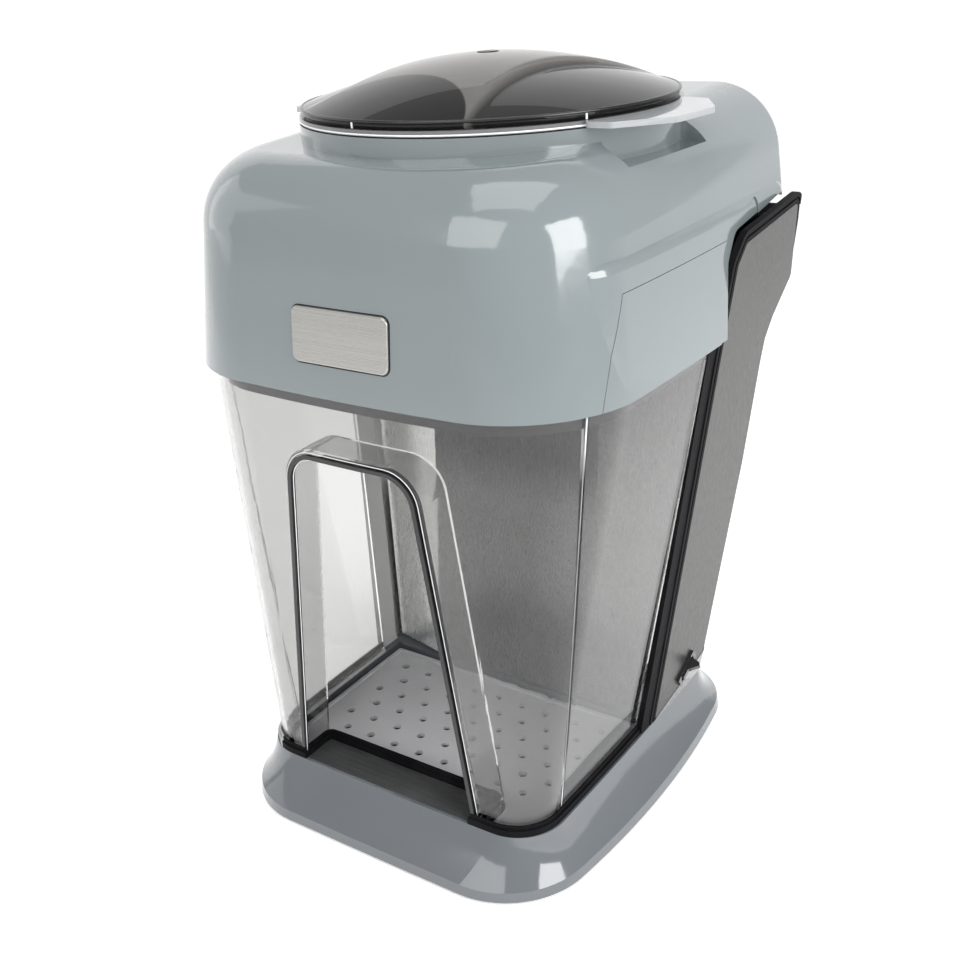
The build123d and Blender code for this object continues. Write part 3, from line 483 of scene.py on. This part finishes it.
def block(bm, low, high, matrix=Matrix()):
    """A box from its two corners, then moved by a matrix."""
    corners = [bm.verts.new(matrix @ Vector((x, y, z)))
               for z in (low[2], high[2]) for y in (low[1], high[1]) for x in (low[0], high[0])]
    for face in ((0, 2, 3, 1), (4, 5, 7, 6), (0, 1, 5, 4), (2, 6, 7, 3), (0, 4, 6, 2), (1, 3, 7, 5)):
        bm.faces.new([corners[i] for i in face])


def rim_ribs():
    """Upright dividers moulded in the clear rim, close together on the front left; their near-white finish
    is a painted highlight for the glints they catch.
    """
    angles = [200, 207, 211, 218, 222, 229, 262, 330, 20, 60, 110, 150]     # degrees
    low = (LID_RADIUS - 0.9 * MM, -0.5 * MM, LID_LOW.z)
    high = (LID_RADIUS + 0.35 * MM, 0.5 * MM, RIM_TOP - 1.0 * MM)

    def build(bm):
        for angle in angles:
            turn = Matrix.Rotation(math.radians(angle), 4, "Z")
            block(bm, low, high, Matrix.Translation(LID_CENTRE) @ turn)

    obj = new_mesh("rim_ribs", build, smooth=False)
    finish(obj, "edge")
    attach(obj, "lid")


def rim_lip_highlight():
    """Painted highlight: a near-white bead for the bright line along the foot of the clear rim."""
    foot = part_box("lid_ring")[1].z - 2.6 * MM
    outer, side = LID_RADIUS + 1.9 * MM, 0.8 * MM

    def build(bm):
        section = [(outer, foot), (outer, foot + side), (outer - side, foot + side), (outer - side, foot)]
        spin_rings(bm, section, RIM_STEPS, LID_CENTRE, close=True)

    obj = new_mesh("rim_lip_highlight", build)
    finish(obj, "edge")
    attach(obj, "lid")


def apex_mark():
    """Small dark gate mark on top of the dome."""
    def build(bm):
        top, outer, inner = LID_HIGH.z, 6.0 * MM, 0.1 * MM
        section = [(outer, top - 0.9 * MM), (outer, top - 0.1 * MM), (4.0 * MM, top),
                   (inner, top), (inner, top - 0.9 * MM)]
        spin_rings(bm, section, 48, LID_CENTRE, close=True)

    obj = new_mesh("apex_mark", build)
    finish(obj, "trim")
    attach(obj, "lid")


lid_dome()
lid_seal()
rim_ribs()
rim_lip_highlight()
apex_mark()


# ---------------------------------------------------------------- bin edges

FINE = 0.28 * MM                   # radius of the finest lines


def tube_along(bm, points, radius, sides=8):
    """A round bead through points, capped at its ends."""
    rows = []
    for i, point in enumerate(points):
        ahead = (points[min(i + 1, len(points) - 1)] - points[max(i - 1, 0)]).normalized()
        side = ahead.cross(Vector((0, 1, 0)) if abs(ahead.y) < 0.9 else Vector((1, 0, 0))).normalized()
        up = side.cross(ahead)
        ring = [point + radius * (math.cos(a) * side + math.sin(a) * up)
                for a in (2 * math.pi * k / sides for k in range(sides))]
        rows.append([bm.verts.new(v) for v in ring])
    for low, high in zip(rows, rows[1:]):
        for k in range(sides):
            after = (k + 1) % sides
            bm.faces.new((low[k], low[after], high[after], high[k]))
    bm.faces.new(rows[0])
    bm.faces.new(rows[-1])


def bead(name, paths, radius, material):
    """One piece of round beads, fixed to the chassis."""
    def build(bm):
        for path in paths:
            tube_along(bm, path, radius)

    obj = new_mesh(name, build)
    finish(obj, material)
    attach(obj, "chassis")


def pane_edge(node):
    """Foot and head of the front edge of a side pane, on its outer face."""
    corners = [v.co for v in NODES[node].data.vertices]
    front = min(v.y for v in corners)
    edge = [v for v in corners if v.y < front + 0.3 * MM]
    foot, head = min(v.z for v in edge), max(v.z for v in edge)
    ends = []
    for level in (foot, head):
        near = [v for v in edge if abs(v.z - level) < 1.0 * MM]
        ends.append(max(near, key=lambda v: abs(v.x)).copy())
    return ends


def pane_seams():
    """Painted highlights and painted shade along the polished edges where the side panes meet the front
    pane: a near-white bead for the light they catch and a black one beside it for the dark line.
    """
    bright, dark = [], []
    steps = 12
    for node in ("bin_side_left", "bin_side_right"):
        foot, head = pane_edge(node)
        bright.append([foot.lerp(head, step / steps) for step in range(steps + 1)])
        dark.append([point + Vector((0, 1.3 * MM, 0)) for point in bright[-1]])
    bead("pane_seams", bright, 0.55 * MM, "edge")
    bead("pane_seam_shadow", dark, FINE, "trim")


ARCH_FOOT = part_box("arch_trim")[0].z
PANE_LOW, PANE_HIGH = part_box("bin_front")
# Outline of the front pane at its foot and at its top: half width, how far forward, and bow.
PANE_FOOT, PANE_TOP = (99.5 * MM, 120.8 * MM, 1.2 * MM), (127.6 * MM, 120.2 * MM, 7.0 * MM)


def arch_point(x, z):
    """A place on the bowed outer face of the front pane."""
    share = (z - PANE_LOW.z) / (PANE_HIGH.z - PANE_LOW.z)
    half, ahead, bow = (foot + (top - foot) * share for foot, top in zip(PANE_FOOT, PANE_TOP))
    return Vector((x, -ahead - bow * (1 - (x / half) ** 2), z))


def arch_path(grow):
    """Outline of the front opening, from the left foot over the crown to the right foot."""
    middle, foot_half, top_half = -3 * MM, 66.5 * MM + grow, 41.5 * MM + grow
    foot_z, crown, radius = 20 * MM, 243.5 * MM + grow, 19 * MM + grow
    lean = math.atan2(foot_half - top_half, crown - foot_z)
    setback = radius / math.tan((math.pi / 2 + lean) / 2)
    leg_start = (foot_half - (ARCH_FOOT - foot_z) * math.tan(lean), ARCH_FOOT)
    leg_end = (top_half + setback * math.sin(lean), crown - setback * math.cos(lean))
    right = [leg_start, leg_end]
    centre_x, centre_z, steps = top_half - setback, crown - radius, 8
    for step in range(1, steps + 1):
        angle = lean + (math.pi / 2 - lean) * step / steps
        right.append((centre_x + radius * math.cos(angle), centre_z + radius * math.sin(angle)))
    outline = [(-x, z) for x, z in right] + [(x, z) for x, z in reversed(right)]
    dense = []
    for (x0, z0), (x1, z1) in zip(outline, outline[1:]):
        parts = max(1, round(math.hypot(x1 - x0, z1 - z0) / (12 * MM)))
        dense += [(x0 + (x1 - x0) * k / parts, z0 + (z1 - z0) * k / parts) for k in range(parts)]
    dense.append(outline[-1])
    return [arch_point(middle + x, z) for x, z in dense]


def arch_lights():
    """Painted highlights: near-white beads for the light caught by the polished edges of the clear pane,
    each side of the black trim.
    """
    outside, inside = 0.9 * MM, -3.2 * MM
    bead("arch_edge_highlights", [arch_path(outside), arch_path(inside)], FINE, "edge")


def sill_pad():
    """Dark ribbed pad on the sill between the feet of the front opening."""
    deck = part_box("floor_gasket")[0].z
    bottom, top, rib_top = deck + 0.05 * MM, deck + 0.6 * MM, deck + 0.9 * MM
    left, right = -62.5 * MM, 56.5 * MM
    front, back = -123.0 * MM, -101.6 * MM
    margin, spacing, rib = 3 * MM, 4 * MM, 1.2 * MM

    def build(bm):
        block(bm, (left, front, bottom), (right, back, top))
        for row in range(5):
            y = front + 2.2 * MM + spacing * row
            block(bm, (left + margin, y, top), (right - margin, y + rib, rib_top))

    obj = new_mesh("sill_pad", build, smooth=False)
    finish(obj, "pad")
    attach(obj, "chassis")


pane_seams()
arch_lights()
sill_pad()


# ---------------------------------------------------------------- badge

BADGE_LEAN = math.radians(-6.28)   # the housing's face leans back


def badge_gap_shade():
    """Painted shade: a black bed behind the blank badge, seen as a thin dark line round it where the gap
    round the plate lies in shadow.
    """
    low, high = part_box("badge_plate")
    half_x, half_z, corner, thick = (high.x - low.x) / 2 + 0.6 * MM, 14.8 * MM, 4.4 * MM, 0.9 * MM
    place = Matrix.Translation(((low.x + high.x) / 2, (low.y + high.y) / 2, (low.z + high.z) / 2))
    matrix = place @ Matrix.Rotation(BADGE_LEAN, 4, "X")

    def build(bm):
        outline = []
        for quarter, (sx, sz) in enumerate(((1, 1), (-1, 1), (-1, -1), (1, -1))):
            for step in range(7):
                angle = math.radians(90 * quarter + 15 * step)
                outline.append((sx * (half_x - corner) + corner * math.cos(angle),
                                sz * (half_z - corner) + corner * math.sin(angle)))
        front, back = ([bm.verts.new(matrix @ Vector((x, y, z))) for x, z in outline]
                       for y in (0.0, thick))
        bm.faces.new(front)
        bm.faces.new(back)
        for i in range(len(outline)):
            after = (i + 1) % len(outline)
            bm.faces.new((front[i], front[after], back[after], back[i]))

    obj = new_mesh("badge_gap_shade", build, smooth=False)
    finish(obj, "trim")
    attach(obj, "chassis")


badge_gap_shade()


# ---------------------------------------------------------------- stage

CAMERA_PLACE = Vector((0.39479, -0.56799, 0.49062))
CAMERA_YAW, CAMERA_PITCH, CAMERA_ROLL = -0.6184828, -0.4150578, -0.0624990      # radians
LENS_MM, SENSOR_MM = 46.449, 36.0
AIM = Vector((0.0, 0.0, 0.25))     # what the lights point at


def backdrop():
    """Pale floor that curves up into the wall behind."""
    near, far, rise, half, radius = -3.5, 3.2, 3.0, 5.0, 1.2
    profile = [(near, 0.0)]
    for step in range(9):
        angle = math.pi / 2 * step / 8
        profile.append((far - radius + radius * math.sin(angle), radius - radius * math.cos(angle)))
    profile.append((far, rise))

    def build(bm):
        rows = [[bm.verts.new((x, y, z)) for x in (-half, half)] for y, z in profile]
        for low, high in zip(rows, rows[1:]):
            bm.faces.new((low[0], low[1], high[1], high[0]))

    obj = new_mesh("backdrop", build)
    n = Nodes("backdrop_paper")
    paper = n.blend(n.noise(n.place(), 3.0), (0.90, 0.90, 0.90), (0.93, 0.93, 0.93))
    n.join(paper, n.shader.inputs["Base Color"])
    n.set(Roughness=0.9, Emission_Color=(1.0, 1.0, 1.0, 1.0), Emission_Strength=0.30)
    obj.data.materials.append(n.material)
    obj.data.transform(Matrix.Rotation(-CAMERA_YAW, 4, "Z"))


def camera():
    """The photograph's viewpoint. Yaw runs from straight back (+Y) towards the right (+X)."""
    data = bpy.data.cameras.new("camera")
    data.lens, data.sensor_width = LENS_MM, SENSOR_MM
    data.clip_start, data.clip_end = 0.01, 50.0
    obj = bpy.data.objects.new("camera", data)
    bpy.context.scene.collection.objects.link(obj)
    yaw, pitch, roll = CAMERA_YAW, CAMERA_PITCH, CAMERA_ROLL
    ahead = Vector((math.sin(yaw) * math.cos(pitch), math.cos(yaw) * math.cos(pitch), math.sin(pitch)))
    right = Vector((math.cos(yaw), -math.sin(yaw), 0.0))
    up = right.cross(ahead)
    side = right * math.cos(roll) + up * math.sin(roll)
    head = up * math.cos(roll) - right * math.sin(roll)
    rows = [(*row, place) for row, place in zip(zip(side, head, -ahead), CAMERA_PLACE)]
    obj.matrix_world = Matrix(rows + [(0, 0, 0, 1)])
    bpy.context.scene.camera = obj


def softbox(name, azimuth, elevation, distance, size, radiance):
    """Rectangular light; azimuth runs in degrees from the front of the machine towards its right."""
    width, height = size
    data = bpy.data.lights.new(name, "AREA")
    data.shape, data.size, data.size_y = "RECTANGLE", width, height
    data.energy = radiance * width * height * math.pi
    turn, lift = math.radians(azimuth), math.radians(elevation)
    away = Vector((math.sin(turn) * math.cos(lift), -math.cos(turn) * math.cos(lift), math.sin(lift)))
    obj = bpy.data.objects.new(name, data)
    obj.location = AIM + away * distance
    obj.rotation_euler = away.to_track_quat("Z", "Y").to_euler()
    bpy.context.scene.collection.objects.link(obj)


def world(level):
    """Even white light from all round."""
    scene_world = bpy.data.worlds.new("studio")
    bpy.context.scene.world = scene_world
    scene_world.use_nodes = True
    background = scene_world.node_tree.nodes["Background"]
    background.inputs["Color"].default_value = (1.0, 1.0, 1.0, 1.0)
    background.inputs["Strength"].default_value = level


backdrop()
camera()
softbox("front_window", -3, 33, 1.6, (1.25, 1.0), 2.6)
softbox("right_window", 80, 20, 1.6, (0.85, 1.0), 8.0)
softbox("left_sheet", -75, 18, 1.8, (1.3, 1.3), 0.7)
softbox("overhead", 20, 84, 1.8, (1.4, 1.4), 1.9)
world(0.55)
bpy.context.scene.view_settings.view_transform = "Standard"
